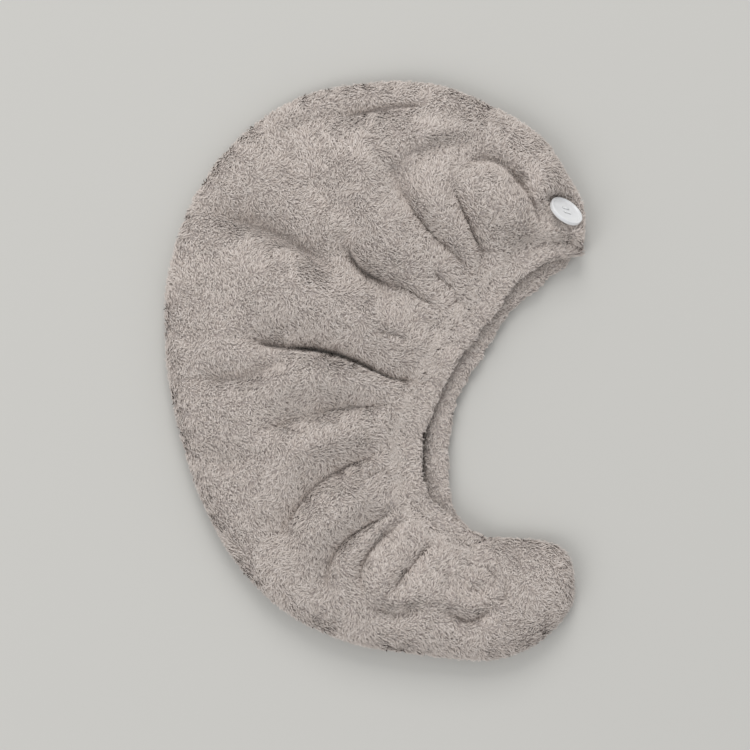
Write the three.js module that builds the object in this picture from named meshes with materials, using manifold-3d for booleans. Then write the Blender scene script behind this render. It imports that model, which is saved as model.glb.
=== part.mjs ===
// A gathered hair turban towel, lying flat on a table.
// Millimetres, +Z up from the table. +X and +Y run across and along the towel as it lies: the button is at
// the +X, +Y end and the tail at the +X, -Y end. The origin is on the table under the middle of the towel.
import * as THREE from 'three';
import { mergeVertices } from 'three/addons/utils/BufferGeometryUtils.js';
import Module from 'manifold-3d';

// Overall size of the towel as it lies
const WIDTH = 269;
const LENGTH = 372;

// Cloth
const WALL = 3;
const SEAM_HEIGHT = 7;
const EDGE_ROUND = 10;
const DOME_HEIGHT = 23;
// How the dome meets its edges: steeply below 1, and running out flat above it
const SEAM_CURVE = 0.9;
const HEM_CURVE = 1.35;
const FOLD_DEPTH = 14;
const FOLD_WIDTH = 9;

// Elastic casing round the opening
const BAND_WIDTH = 15;
const BAND_THICKNESS = 7;
const BAND_END_WIDTH = 9;
const BAND_TIP_WIDTH = 2;
const MOUTH_GAP = 6;
const TURN_GAP = 1.4;
const PUCKER_COUNT = 17;
const PUCKER_DEPTH = 0.5;
const HEM_LAP = 0.42 * BAND_THICKNESS;

// Button and its thread
const BUTTON_DIAMETER = 23.2;
const BUTTON_THICKNESS = 2.8;
const BUTTON_RIM_WIDTH = 1.6;
const BUTTON_DISH_DEPTH = 0.7;
const BUTTON_EDGE_ROUND = 0.8;
const HOLE_DIAMETER = 1.9;
const HOLE_SPACING = 4.1;
const THREAD_DIAMETER = 1.1;
const SHANK_DIAMETER = 3;
const SHANK_LENGTH = 1.6;
const BUTTON_SEAT_HEIGHT = 20;
const BUTTON_TILT = THREE.MathUtils.degToRad(54);
const BUTTON_HEADING = THREE.MathUtils.degToRad(53);

// Clearance between neighbouring pieces
const GAP = 0.3;

// Sections across the towel, from the button end round to the tip of the tail. Each row holds three points,
// as shares of WIDTH and LENGTH from the middle: on the outer seam, on the edge of the front hem and on the
// edge of the back hem. The last column is the height of the crown there, as a share of DOME_HEIGHT.
// On the tail the two hems are sewn together, so their points are the same.
const SECTIONS = [
  // seam x, seam y, front x, front y, back x, back y, crown
  [0.502, 0.215, 0.471, 0.202, 0.471, 0.202, 0.25],
  [0.499, 0.280, 0.442, 0.198, 0.452, 0.182, 0.52],
  [0.468, 0.330, 0.404, 0.189, 0.418, 0.166, 0.66],
  [0.399, 0.404, 0.366, 0.175, 0.385, 0.144, 0.76],
  [0.282, 0.458, 0.330, 0.152, 0.354, 0.126, 0.85],
  [0.140, 0.496, 0.308, 0.130, 0.323, 0.105, 0.92],
  [-0.013, 0.499, 0.289, 0.107, 0.299, 0.083, 0.95],
  [-0.179, 0.473, 0.263, 0.085, 0.275, 0.053, 0.95],
  [-0.323, 0.404, 0.229, 0.053, 0.248, 0.020, 0.95],
  [-0.430, 0.301, 0.195, 0.019, 0.222, -0.009, 0.98],
  [-0.490, 0.173, 0.167, -0.016, 0.200, -0.037, 1.00],
  [-0.498, 0.041, 0.143, -0.056, 0.186, -0.073, 1.00],
  [-0.469, -0.092, 0.121, -0.091, 0.176, -0.113, 1.00],
  [-0.409, -0.226, 0.109, -0.129, 0.174, -0.150, 0.95],
  [-0.320, -0.339, 0.109, -0.167, 0.174, -0.186, 0.90],
  [-0.200, -0.420, 0.121, -0.209, 0.180, -0.222, 0.85],
  [-0.059, -0.467, 0.152, -0.235, 0.193, -0.247, 0.80],
  [0.080, -0.486, 0.193, -0.261, 0.215, -0.268, 0.75],
  [0.200, -0.495, 0.239, -0.281, 0.239, -0.281, 0.70],
  [0.284, -0.497, 0.301, -0.290, 0.301, -0.290, 0.68],
  [0.361, -0.481, 0.363, -0.292, 0.363, -0.292, 0.62],
  [0.423, -0.448, 0.418, -0.299, 0.418, -0.299, 0.48],
  [0.462, -0.413, 0.454, -0.313, 0.454, -0.313, 0.25],
  [0.476, -0.386, 0.474, -0.346, 0.474, -0.346, 0.00],
];
const CORNER_ROW = 18;
const LAST_ROW = SECTIONS.length - 1;

// Folds of the gathered cloth, valleys below zero and ridges above. A fold runs through three points, as
// shares of WIDTH and LENGTH from the middle. Its depth is a share of FOLD_DEPTH. Its widths, to the left and
// to the right of its way, are shares of FOLD_WIDTH.
const FOLDS = [
  // start x, start y, middle x, middle y, end x, end y, depth, left width, right width
  [0.323, 0.350, 0.366, 0.305, 0.394, 0.237, -0.500, 0.67, 0.78],
  [0.176, 0.346, 0.282, 0.362, 0.366, 0.301, -0.536, 0.89, 0.67],
  [0.171, 0.336, 0.212, 0.272, 0.279, 0.176, -0.500, 0.67, 0.78],
  [0.282, 0.384, 0.138, 0.376, 0.066, 0.305, -0.429, 0.89, 0.78],
  [0.028, 0.374, 0.090, 0.274, 0.263, 0.159, -0.536, 1.00, 0.67],
  [-0.083, 0.253, -0.040, 0.183, 0.090, 0.124, -0.786, 0.78, 1.56],
  [-0.476, 0.298, -0.255, 0.242, -0.054, 0.157, -1.000, 2.11, 0.89],
  [-0.255, 0.412, -0.174, 0.339, -0.078, 0.242, -0.643, 1.56, 1.56],
  [-0.375, 0.060, -0.179, 0.045, -0.001, 0.001, -0.857, 1.56, 0.56],
  [-0.059, 0.017, 0.049, -0.011, 0.138, -0.016, -0.357, 0.89, 0.56],
  [-0.462, -0.014, -0.311, -0.011, -0.183, 0.024, -0.571, 1.11, 0.89],
  [-0.303, -0.108, -0.135, -0.073, 0.052, -0.056, -0.786, 1.89, 0.67],
  [-0.462, -0.144, -0.351, -0.156, -0.212, -0.129, -0.357, 1.33, 1.00],
  [-0.265, -0.326, -0.145, -0.205, 0.032, -0.130, -0.857, 1.56, 0.67],
  [-0.126, -0.403, -0.088, -0.302, 0.056, -0.235, -0.643, 1.00, 0.61],
  [-0.025, -0.403, -0.025, -0.326, 0.080, -0.257, -0.536, 0.78, 0.56],
  [0.020, -0.396, 0.080, -0.342, 0.143, -0.293, -0.464, 0.67, 0.61],
  [-0.040, -0.392, 0.052, -0.417, 0.147, -0.399, -0.500, 0.67, 0.89],
  [0.123, -0.396, 0.219, -0.425, 0.301, -0.399, -0.571, 0.78, 0.89],
  [0.181, -0.337, 0.224, -0.375, 0.279, -0.368, -0.571, 0.89, 0.89],
  [-0.294, 0.398, -0.083, 0.443, 0.147, 0.457, -0.429, 0.67, 1.33],
  [0.133, 0.450, 0.200, 0.440, 0.282, 0.423, -0.286, 0.78, 0.67],
  [0.253, 0.358, 0.301, 0.298, 0.337, 0.220, 0.286, 1.11, 1.11],
  [0.109, 0.332, 0.169, 0.260, 0.239, 0.187, 0.286, 1.00, 1.00],
  [-0.059, 0.416, -0.006, 0.277, 0.133, 0.149, 0.571, 1.22, 1.22],
  [0.056, 0.381, 0.157, 0.414, 0.313, 0.424, 0.429, 0.67, 0.67],
  [-0.452, 0.232, -0.203, 0.142, 0.157, 0.055, 0.500, 1.44, 2.22],
  [-0.327, -0.035, -0.150, -0.007, 0.066, -0.037, 0.571, 1.22, 1.22],
  [-0.270, -0.184, -0.131, -0.118, 0.061, -0.098, 0.429, 1.22, 1.22],
  [-0.207, -0.347, -0.102, -0.243, 0.066, -0.191, 0.500, 1.11, 1.11],
];

// The button's seat on the cloth, as shares of WIDTH and LENGTH from the middle
const BUTTON_SEAT = [0.449, 0.270];

const smooth = (a, b, x) => {
  const t = Math.min(Math.max((x - a) / (b - a), 0), 1);
  return t * t * (3 - 2 * t);
};
const mix = (a, b, t) => a + (b - a) * t;

// A smooth line through the points of a list at whole numbers (Catmull-Rom). Its ends carry straight on.
function lineAt(points, u) {
  const last = points.length - 1;
  const i = Math.min(Math.max(Math.floor(u), 0), last - 1);
  const t = u - i;
  const at = (j) => {
    if (j < 0) return points[0].map((c, k) => 2 * c - points[1][k]);
    if (j > last) return points[last].map((c, k) => 2 * c - points[last - 1][k]);
    return points[j];
  };
  const [p, q, r, s] = [at(i - 1), at(i), at(i + 1), at(i + 2)];
  return q.map((c, k) => c + 0.5 * t * (r[k] - p[k]
    + t * (2 * p[k] - 5 * c + 4 * r[k] - s[k] + t * (3 * (c - r[k]) + s[k] - p[k]))));
}

const toPlan = (x, y) => [x * WIDTH, y * LENGTH];
const column = (first) => SECTIONS.map((row) => toPlan(row[first], row[first + 1]));
const seamPoints = column(0);
const frontPoints = column(2);
const backPoints = column(4);

// Past the tip of the tail each line turns back along the other one, which rounds the tip
const roundTheTip = (points, other) => [...points, other[LAST_ROW], other[LAST_ROW - 1]];
const seamLine = roundTheTip(seamPoints, frontPoints);
const frontLine = roundTheTip(frontPoints, seamPoints);
const backLine = roundTheTip(backPoints, seamPoints);
const crownLine = SECTIONS.map((row) => [row[6]]);

function direction(points, u) {
  const step = 0.02;
  const a = lineAt(points, u - step);
  const b = lineAt(points, u + step);
  const length = Math.hypot(b[0] - a[0], b[1] - a[1]);
  return [(b[0] - a[0]) / length, (b[1] - a[1]) / length];
}
const leftOf = ([x, y]) => [-y, x];
const rightOf = ([x, y]) => [y, -x];
const along = (p, d, s) => [p[0] + d[0] * s, p[1] + d[1] * s];
const distance = (p, q) => Math.hypot(q[0] - p[0], q[1] - p[1]);

// The front and the back hem are one line on the tail, and share their direction at both ends of the opening
const hemAt = (points, u) => lineAt(u < CORNER_ROW ? points : frontLine, u);
function hemWay(points, u) {
  const own = direction(points, u);
  const shared = direction(frontLine, u);
  const t = smooth(0, 1, u) * smooth(0, 1, CORNER_ROW - u);
  const way = [mix(shared[0], own[0], t), mix(shared[1], own[1], t)];
  const size = Math.hypot(way[0], way[1]);
  return [way[0] / size, way[1] / size];
}

// The casing narrows towards both ends of the opening, where it turns from the front to the back hem
const turnRadius = (BAND_THICKNESS + TURN_GAP) / 2;
const turnReach = turnRadius + BAND_THICKNESS / 2;
const frontLift = BAND_THICKNESS / 2 + 2 * turnRadius;
const bandWidthAt = (u) => {
  const full = smooth(0, 2.5, u) * smooth(0, 3, CORNER_ROW - u);
  return mix(BAND_END_WIDTH, BAND_WIDTH, full);
};
const bandHeightAt = (u) => {
  const open = smooth(0, 2.5, u) * smooth(0, 4, CORNER_ROW - u);
  return frontLift + (MOUTH_GAP - TURN_GAP) * open;
};

// The panels' edge on the hem side: round the casing's end turn at the button, beside the casing, round its
// other end turn, and then at the seam of the tail
const END_SHARE = 0.5;
const turnWidth = (past) => mix(BAND_END_WIDTH, BAND_TIP_WIDTH, Math.min(past / turnReach, 1)) + 2 * GAP;
function hemSetback(points, u) {
  if (u <= CORNER_ROW) return bandWidthAt(u) + GAP * (2 - smooth(0, 1, u));
  const past = distance(hemAt(points, CORNER_ROW), hemAt(points, u));
  return turnWidth(past) * (1 - smooth(turnReach + GAP, turnReach + 5, past));
}
const tailShare = (u) => smooth(CORNER_ROW - 0.2, CORNER_ROW + 1.2, u);
function hemEdge(points, u, inset) {
  if (u < END_SHARE) {
    const way = hemWay(points, 0);
    const past = (turnReach + GAP) * (1 - u / END_SHARE);
    return along(along(hemAt(points, 0), way, -past), rightOf(way), turnWidth(past));
  }
  const k = u < 1 ? (u - END_SHARE) / (1 - END_SHARE) : u;
  return along(hemAt(points, k), rightOf(hemWay(points, k)), hemSetback(points, k) + inset * tailShare(k));
}
seamLine[0] = along(hemEdge(frontLine, 0, 0), rightOf(hemWay(frontLine, 0)), WALL);

// Plan ends of a section. A positive inset moves them inwards, for the inner face of a wall.
function sectionEnds(points, u, inset) {
  const hem = hemEdge(points, u, inset);
  const seam = lineAt(seamLine, u);
  const chord = distance(seam, hem);
  const across = [(hem[0] - seam[0]) / chord, (hem[1] - seam[1]) / chord];
  const inward = leftOf(direction(seamLine, u));
  const turned = smooth(0, 1.5, u);
  const way = [mix(across[0], inward[0], turned), mix(across[1], inward[1], turned)];
  const size = Math.hypot(way[0], way[1]);
  return [along(seam, [way[0] / size, way[1] / size], Math.min(inset, 0.6 * chord)), hem];
}

// The blunt tip of the tail moves inwards too
const tipMiddle = (u) => {
  const a = lineAt(seamLine, u);
  const b = lineAt(frontLine, u);
  return [(a[0] + b[0]) / 2, (a[1] + b[1]) / 2];
};
const tip = tipMiddle(LAST_ROW);
function pullTip(u, inset) {
  const slope = distance(tipMiddle(LAST_ROW - 0.5), tip) / 0.5;
  return u - (inset / slope) * smooth(LAST_ROW - 3, LAST_ROW, u);
}

// Quarter round: 0 at the edge, 1 at the given radius and beyond
const quarter = (d, radius) => Math.sqrt(1 - (1 - Math.min(d / radius, 1)) ** 2);

// Depth of all the folds at a point. Across a fold it is a bell, sharper in a valley than on a ridge. Along
// it, the depth grows over the first half and fades before the end.
const foldLines = FOLDS.map((row) => {
  const ends = [toPlan(row[0], row[1]), toPlan(row[2], row[3]), toPlan(row[4], row[5])];
  const steps = Array.from({ length: 13 }, (_, i) => lineAt(ends, i / 6));
  const [depth, left, right] = [row[6] * FOLD_DEPTH, row[7] * FOLD_WIDTH, row[8] * FOLD_WIDTH];
  return { steps, depth, left, right, power: depth < 0 ? 1.4 : 2 };
});
function foldHeight(p) {
  let sum = 0;
  for (const { steps, depth, left, right, power } of foldLines) {
    let nearest = Infinity;
    let share = 0;
    let side = 0;
    for (let i = 0; i < steps.length - 1; i += 1) {
      const [a, b] = [steps[i], steps[i + 1]];
      const ab = [b[0] - a[0], b[1] - a[1]];
      const ap = [p[0] - a[0], p[1] - a[1]];
      const t = Math.min(Math.max((ap[0] * ab[0] + ap[1] * ab[1]) / (ab[0] ** 2 + ab[1] ** 2), 0), 1);
      const d = distance(p, along(a, ab, t));
      if (d < nearest) {
        nearest = d;
        share = (i + t) / (steps.length - 1);
        side = ab[0] * ap[1] - ab[1] * ap[0];
      }
    }
    const fade = smooth(-0.05, 0.35, share) * smooth(-0.05, 0.3, 1 - share);
    sum += depth * fade * Math.exp(-((nearest / (side > 0 ? left : right)) ** power));
  }
  return sum;
}

// The thread draws the cloth flat under the button, on a slope that falls outwards over the end of the towel
const seatPlan = toPlan(...BUTTON_SEAT);
const buttonAxis = new THREE.Vector3(
  Math.sin(BUTTON_TILT) * Math.cos(BUTTON_HEADING),
  Math.sin(BUTTON_TILT) * Math.sin(BUTTON_HEADING),
  Math.cos(BUTTON_TILT),
);
function drawnToButton(p, height, inset) {
  const [dx, dy] = [p[0] - seatPlan[0], p[1] - seatPlan[1]];
  const slope = (dx * buttonAxis.x + dy * buttonAxis.y) / buttonAxis.z;
  const down = Math.max(slope, -0.12 * BUTTON_DIAMETER);
  const lowest = SEAM_HEIGHT + 1.2 * (WALL - inset);
  const pull = 1 - smooth(0.52 * BUTTON_DIAMETER, 0.9 * BUTTON_DIAMETER, Math.hypot(dx, dy));
  return mix(height, Math.max(BUTTON_SEAT_HEIGHT - down - inset / buttonAxis.z, lowest), pull);
}

// A point of either panel. u runs along the towel, v across it from the seam to the hem.
// side is +1 for the front panel and -1 for the back one; inset is 0 outside and WALL inside.
function panelPoint(side, u, v, inset) {
  const points = side > 0 ? frontLine : backLine;
  const pulled = pullTip(u, inset);
  const [seam, hem] = sectionEnds(points, pulled, inset);
  const length = distance(seam, hem);
  const p = [mix(seam[0], hem[0], v), mix(seam[1], hem[1], v)];
  const tail = tailShare(u);
  const over = smooth(0, 1, v);
  const round = Math.min(EDGE_ROUND, 0.45 * length);
  const tipRound = quarter(distance(tipMiddle(pulled), tipMiddle(pullTip(LAST_ROW, inset))), EDGE_ROUND);
  const fromSeam = quarter(v * length, round) * tipRound;
  const fromHem = quarter((1 - v) * length, round) * tipRound;
  const rise = SEAM_HEIGHT - inset;
  if (side < 0) {
    const down = fromSeam * (1 - over) + mix(1, fromHem, tail) * over;
    return [p[0], p[1], SEAM_HEIGHT - GAP / 2 - (rise - GAP / 2) * down];
  }
  const hemTop = bandHeightAt(Math.min(u, CORNER_ROW)) + HEM_LAP - inset - WALL * (1 - smooth(0, END_SHARE, u));
  const flat = rise * (fromSeam * (1 - over) + tail * fromHem * over);
  const lift = (hemTop - SEAM_HEIGHT) * over * (1 - tail);
  const crown = lineAt(crownLine, Math.min(u, LAST_ROW))[0] * DOME_HEIGHT;
  const dome = crown * Math.sin(Math.PI * v) ** mix(SEAM_CURVE, HEM_CURVE, over * (1 - tail));
  const clear = quarter(v * length, 2 * EDGE_ROUND) * smooth(0, EDGE_ROUND, (1 - v) * length);
  const free = flat + lift + dome + foldHeight(p) * clear * tipRound;
  const drawn = drawnToButton(p, SEAM_HEIGHT + free, inset) - SEAM_HEIGHT;
  const held = smooth(0, EDGE_ROUND / 2, v * length) * smooth(0, EDGE_ROUND, (1 - v) * length);
  return [p[0], p[1], SEAM_HEIGHT + GAP / 2 + mix(free, drawn, held)];
}

// Positions across a section: close together on the rounded edges, even between them
function acrossPositions(length, middle) {
  const round = Math.min(EDGE_ROUND, 0.3 * length) / length;
  const edge = [0, 0.12 * round, 0.45 * round];
  const inner = Array.from({ length: middle + 1 }, (_, i) => mix(round, 1 - round, i / middle));
  return [...edge, ...inner, ...edge.map((v) => 1 - v).reverse()];
}

// A closed solid from triangles over a list of points, turned so that its faces point outwards
function solidFrom(points, triangles) {
  let volume = 0;
  for (const [a, b, c] of triangles) {
    const [p, q, r] = [points[a], points[b], points[c]];
    volume += p[0] * (q[1] * r[2] - q[2] * r[1]) + p[1] * (q[2] * r[0] - q[0] * r[2])
      + p[2] * (q[0] * r[1] - q[1] * r[0]);
  }
  const geometry = new THREE.BufferGeometry();
  geometry.setAttribute('position', new THREE.Float32BufferAttribute(points.flat(), 3));
  geometry.setIndex(triangles.flatMap(([a, b, c]) => (volume > 0 ? [a, b, c] : [a, c, b])));
  geometry.computeVertexNormals();
  return geometry;
}

// A wall of cloth: an outer and an inner grid joined round their edges
function panelGeometry(side, stations, middle) {
  const points = [];
  const outer = [];
  const inner = [];
  for (const u of stations) {
    for (const [grid, inset] of [[outer, 0], [inner, WALL]]) {
      const [seam, hem] = sectionEnds(side > 0 ? frontLine : backLine, pullTip(u, inset), inset);
      grid.push(acrossPositions(distance(seam, hem), middle).map((v) => {
        points.push(panelPoint(side, u, v, inset));
        return points.length - 1;
      }));
    }
  }
  const triangles = [];
  const quad = (a, b, c, d) => triangles.push([a, b, c], [a, c, d]);
  const rows = stations.length - 1;
  const columns = outer[0].length - 1;
  for (let i = 0; i < rows; i += 1) {
    for (let j = 0; j < columns; j += 1) {
      quad(outer[i][j], outer[i + 1][j], outer[i + 1][j + 1], outer[i][j + 1]);
      quad(inner[i][j], inner[i][j + 1], inner[i + 1][j + 1], inner[i + 1][j]);
    }
    quad(outer[i][0], inner[i][0], inner[i + 1][0], outer[i + 1][0]);
    quad(outer[i][columns], outer[i + 1][columns], inner[i + 1][columns], inner[i][columns]);
  }
  for (let j = 0; j < columns; j += 1) {
    quad(outer[0][j], outer[0][j + 1], inner[0][j + 1], inner[0][j]);
    quad(outer[rows][j], inner[rows][j], inner[rows][j + 1], outer[rows][j + 1]);
  }
  return solidFrom(points, triangles);
}

// The casing: an eight-sided section carried along the front hem, round, and back along the back hem
function bandGeometry(stations, turnSteps) {
  const frames = [];
  const puckerAt = (u) => 1 - (PUCKER_DEPTH / BAND_THICKNESS)
    * (1 - Math.cos((2 * Math.PI * PUCKER_COUNT * u) / CORNER_ROW));
  const run = (points, u, height, up) => {
    const hemSide = rightOf(hemWay(points, u));
    const width = bandWidthAt(u);
    const middle = along(hemAt(points, u), hemSide, width / 2);
    frames.push({ middle: [...middle, height], hemSide, up: [0, 0, up], width, bulk: puckerAt(u) });
  };
  const turn = (points, u, forward, angle) => {
    const ahead = hemWay(points, u).map((c) => c * forward);
    const hemSide = rightOf(hemWay(points, u));
    const width = mix(BAND_END_WIDTH, BAND_TIP_WIDTH, Math.sin(angle));
    const end = along(hemAt(points, u), hemSide, width / 2);
    const middle = along(end, ahead, turnRadius * Math.sin(angle));
    const cos = Math.cos(angle) * forward;
    const height = BAND_THICKNESS / 2 + turnRadius * (1 + cos);
    const up = [ahead[0] * Math.sin(angle), ahead[1] * Math.sin(angle), cos];
    frames.push({ middle: [...middle, height], hemSide, up, width, bulk: 1 });
  };
  const angles = Array.from({ length: turnSteps - 1 }, (_, i) => (Math.PI * (i + 1)) / turnSteps);
  stations.forEach((u) => run(frontLine, u, bandHeightAt(u), 1));
  angles.forEach((angle) => turn(frontLine, CORNER_ROW, 1, angle));
  [...stations].reverse().forEach((u) => run(backLine, u, BAND_THICKNESS / 2, -1));
  angles.forEach((angle) => turn(frontLine, 0, -1, angle));

  const section = [[1, -0.4], [1, 0.4], [0.6, 1], [-0.6, 1], [-1, 0.4], [-1, -0.4], [-0.6, -1], [0.6, -1]];
  const points = frames.flatMap(({ middle, hemSide, up, width, bulk }) => section.map(([w, t]) => {
    const wide = (w * width) / 2;
    const thick = (t * bulk * BAND_THICKNESS) / 2;
    return [middle[0] + hemSide[0] * wide + up[0] * thick, middle[1] + hemSide[1] * wide + up[1] * thick,
      middle[2] + up[2] * thick];
  }));
  const triangles = [];
  const sides = section.length;
  frames.forEach((_, i) => {
    const next = (i + 1) % frames.length;
    section.forEach((__, j) => {
      const k = (j + 1) % sides;
      const [a, b, c, d] = [i * sides + j, next * sides + j, next * sides + k, i * sides + k];
      triangles.push([a, b, c], [a, c, d]);
    });
  });
  return solidFrom(points, triangles);
}

// Joins and cuts of closed meshes
const wasm = await Module();
wasm.setup();
function toManifold(geometry) {
  const bare = geometry.clone();
  bare.deleteAttribute('normal');
  bare.deleteAttribute('uv');
  const merged = mergeVertices(bare, 1e-4);
  return new wasm.Manifold(new wasm.Mesh({
    numProp: 3,
    vertProperties: new Float32Array(merged.attributes.position.array),
    triVerts: new Uint32Array(merged.index.array),
  }));
}
function fromManifold(solid) {
  const mesh = solid.getMesh();
  const geometry = new THREE.BufferGeometry();
  geometry.setAttribute('position', new THREE.BufferAttribute(mesh.vertProperties, 3));
  geometry.setIndex(new THREE.BufferAttribute(mesh.triVerts, 1));
  geometry.computeVertexNormals();
  return geometry;
}

// An upright round bar between two heights
function barGeometry(diameter, bottom, top, x, y, sides) {
  const bar = new THREE.CylinderGeometry(diameter / 2, diameter / 2, top - bottom, sides);
  bar.rotateX(Math.PI / 2);
  bar.translate(x, y, (bottom + top) / 2);
  return bar;
}

// The button lies on its own z = 0, turned from one profile, with its four holes cut through
const holeCentres = [[-1, -1], [1, -1], [1, 1], [-1, 1]]
  .map(([x, y]) => [(x * HOLE_SPACING) / 2, (y * HOLE_SPACING) / 2]);
function buttonGeometry() {
  const radius = BUTTON_DIAMETER / 2;
  const dish = BUTTON_THICKNESS - BUTTON_DISH_DEPTH;
  const profile = [
    [0, 0],
    [radius - BUTTON_EDGE_ROUND, 0],
    [radius, BUTTON_EDGE_ROUND],
    [radius, BUTTON_THICKNESS - BUTTON_EDGE_ROUND],
    [radius - BUTTON_EDGE_ROUND / 2, BUTTON_THICKNESS],
    [radius - BUTTON_RIM_WIDTH, BUTTON_THICKNESS],
    [radius - BUTTON_RIM_WIDTH - BUTTON_DISH_DEPTH, dish],
    [0, dish],
  ].map(([x, y]) => new THREE.Vector2(x, y));
  const body = new THREE.LatheGeometry(profile, 24);
  body.rotateX(Math.PI / 2);
  let solid = toManifold(body);
  for (const [x, y] of holeCentres) {
    solid = solid.subtract(toManifold(barGeometry(HOLE_DIAMETER, -1, BUTTON_THICKNESS + 1, x, y, 8)));
  }
  return fromManifold(solid);
}

// Two stitches over the face, four legs through the holes and a round shank down to the cloth
function threadGeometry() {
  const face = BUTTON_THICKNESS - BUTTON_DISH_DEPTH + GAP;
  let solid = toManifold(barGeometry(SHANK_DIAMETER, -SHANK_LENGTH, -GAP, 0, 0, 8));
  for (const [x, y] of holeCentres) {
    solid = solid.add(toManifold(barGeometry(THREAD_DIAMETER, -GAP - 0.9, face + 0.5, x, y, 6)));
    const spoke = new THREE.BoxGeometry(Math.hypot(x, y), THREAD_DIAMETER * 0.8, 0.6);
    spoke.rotateZ(Math.atan2(y, x));
    spoke.translate(x / 2, y / 2, -GAP - 0.5);
    solid = solid.add(toManifold(spoke));
  }
  for (const y of [holeCentres[0][1], holeCentres[2][1]]) {
    const stitch = new THREE.BoxGeometry(HOLE_SPACING, THREAD_DIAMETER * 0.9, 0.6);
    stitch.translate(0, y, face + 0.4);
    solid = solid.add(toManifold(stitch));
  }
  return fromManifold(solid);
}

const fleece = new THREE.MeshStandardMaterial({ color: 0xb3a8a1, roughness: 1, metalness: 0 });
const casing = new THREE.MeshStandardMaterial({ color: 0xaea39c, roughness: 1, metalness: 0 });
const plastic = new THREE.MeshStandardMaterial({ color: 0xe9e9ea, roughness: 0.25, metalness: 0 });
const cotton = new THREE.MeshStandardMaterial({ color: 0xdcdcda, roughness: 0.9, metalness: 0 });

function named(name, geometry, material) {
  const mesh = new THREE.Mesh(geometry, material);
  mesh.name = name;
  return mesh;
}

// Stations along the towel: so many even steps from row to row
function stationsFrom(rows) {
  const stations = [];
  for (const [start, end, steps] of rows) {
    for (let i = 0; i < (end - start) * steps; i += 1) stations.push(start + i / steps);
  }
  stations.push(rows[rows.length - 1][1]);
  return stations;
}
const frontStations = stationsFrom([[0, 4, 6], [4, 17, 4], [17, LAST_ROW, 3]]);
const backStations = stationsFrom([[0, 2, 6], [2, 16, 2], [16, LAST_ROW, 3]]);
const bandStations = stationsFrom([[0, CORNER_ROW, 3]]);

const towel = new THREE.Group();
towel.add(named('front_panel', panelGeometry(1, frontStations, 12), fleece));
towel.add(named('back_panel', panelGeometry(-1, backStations, 1), fleece));
towel.add(named('opening_hem', bandGeometry(bandStations, 6), casing));

const buttonGroup = new THREE.Group();
buttonGroup.position.set(...seatPlan, BUTTON_SEAT_HEIGHT + GAP / 2);
buttonGroup.position.addScaledVector(buttonAxis, GAP + SHANK_LENGTH);
buttonGroup.quaternion.setFromUnitVectors(new THREE.Vector3(0, 0, 1), buttonAxis);
buttonGroup.add(named('button', buttonGeometry(), plastic));
buttonGroup.add(named('button_thread', threadGeometry(), cotton));
towel.add(buttonGroup);

export default towel;
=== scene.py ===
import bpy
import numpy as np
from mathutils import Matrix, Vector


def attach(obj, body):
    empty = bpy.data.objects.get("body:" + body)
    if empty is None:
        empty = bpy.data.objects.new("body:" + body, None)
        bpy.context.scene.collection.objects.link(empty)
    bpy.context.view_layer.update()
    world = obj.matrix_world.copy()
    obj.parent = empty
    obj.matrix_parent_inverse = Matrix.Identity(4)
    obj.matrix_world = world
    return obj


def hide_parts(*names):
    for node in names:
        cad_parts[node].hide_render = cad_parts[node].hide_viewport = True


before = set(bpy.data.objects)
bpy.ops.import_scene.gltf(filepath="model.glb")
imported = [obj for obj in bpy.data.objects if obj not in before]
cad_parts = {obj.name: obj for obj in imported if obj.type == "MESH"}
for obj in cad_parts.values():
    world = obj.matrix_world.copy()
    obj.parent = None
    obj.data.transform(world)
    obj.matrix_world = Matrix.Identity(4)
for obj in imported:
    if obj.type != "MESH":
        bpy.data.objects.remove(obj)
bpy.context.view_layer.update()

# %% [markdown]
# # A gathered hair turban towel
# The object is a hair towel sewn from two curved pieces of thick plush fleece. It lies on a table, the
# wide end at the upper right with a button, the narrow tail at the lower right, and the gathered opening
# between them. The frame file has already put its plain solids in the scene. This lesson dresses them:
# cloth with real folds, a puckered casing, a turned button, its thread, and the pile of the fleece.
# Lengths are written in millimetres, which is how a sewer thinks of them, and turned to metres once.

MM = 0.001

# %% [markdown]
# ## Sizes of the cloth, the casing and the button
# These are the sizes that the plain model was drawn with, so each new piece lands on its own solid. In the
# tables of folds below, a depth of 1 means FOLD_DEPTH and a width of 1 means FOLD_WIDTH.

# %% Sizes of the towel
WIDTH, LENGTH = 269, 372
WALL = 3
SEAM_HEIGHT = 7
EDGE_ROUND = 10
DOME_HEIGHT = 23
SEAM_CURVE, HEM_CURVE = 0.9, 1.35
FOLD_DEPTH = 14
FOLD_WIDTH = 9
GAP = 0.3

# %% Sizes of the elastic casing
BAND_WIDTH = 15
BAND_THICKNESS = 7
BAND_END_WIDTH = 9
BAND_TIP_WIDTH = 2
MOUTH_GAP = 6
TURN_GAP = 1.4

# %% Sizes and place of the button
BUTTON_DIAMETER = 23.2
BUTTON_THICKNESS = 2.8
BUTTON_RIM_WIDTH = 1.6
BUTTON_DISH_DEPTH = 0.7
HOLE_DIAMETER = 1.9
HOLE_SPACING = 4.1
SHANK_LENGTH = 1.6
BUTTON_SEAT = (0.449, 0.270)
BUTTON_SEAT_HEIGHT = 20
BUTTON_TILT = np.radians(54)
BUTTON_HEADING = np.radians(53)

# %% [markdown]
# ## The pattern of the towel
# The plan is a row of sections from the button end to the tip of the tail. Each gives a point on the outer
# seam, one on the front hem and one on the back hem, as shares of the width and the length from the
# middle, and the height of the crown between them.

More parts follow.
